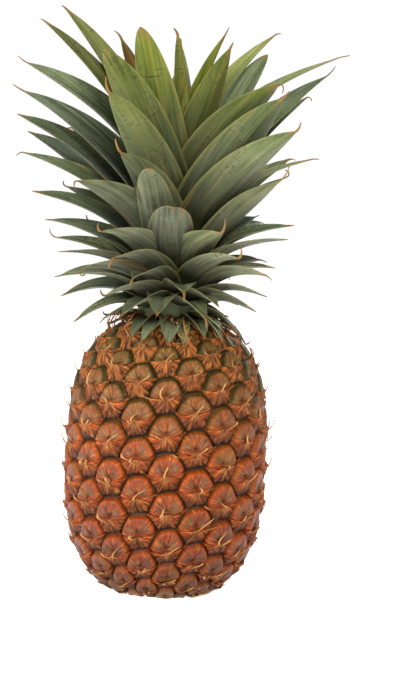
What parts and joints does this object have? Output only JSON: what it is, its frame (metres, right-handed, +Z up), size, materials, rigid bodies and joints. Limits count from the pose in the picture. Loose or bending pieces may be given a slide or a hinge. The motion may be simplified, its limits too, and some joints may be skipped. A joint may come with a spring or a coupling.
{
  "type": "pineapple",
  "caption": "Whole fresh pineapple with its leafy crown: barrel-shaped fruit covered in a spiral of eyes with spines, standing on a small flat spot at the cut stalk.",
  "frame": {"origin": "middle of the flat spot under the fruit, at the cut end of the stalk", "axes": "+Z up along the fruit and its crown, -Y toward the front that the picture shows"},
  "size_m": [0.2018, 0.165, 0.3489],
  "materials": {
    "fruit_skin": "waxy orange-brown rind, darker in the grooves between its eyes",
    "crown_leaf": "stiff grey-green leaf with a pale bloom and dry tan tips",
    "cut_stalk": "dry fibrous cut end of the stalk"
  },
  "bodies": {
    "root": {"fruit": "fruit_skin", "crown": "crown_leaf", "stalk": "cut_stalk"}
  },
  "joints": []
}
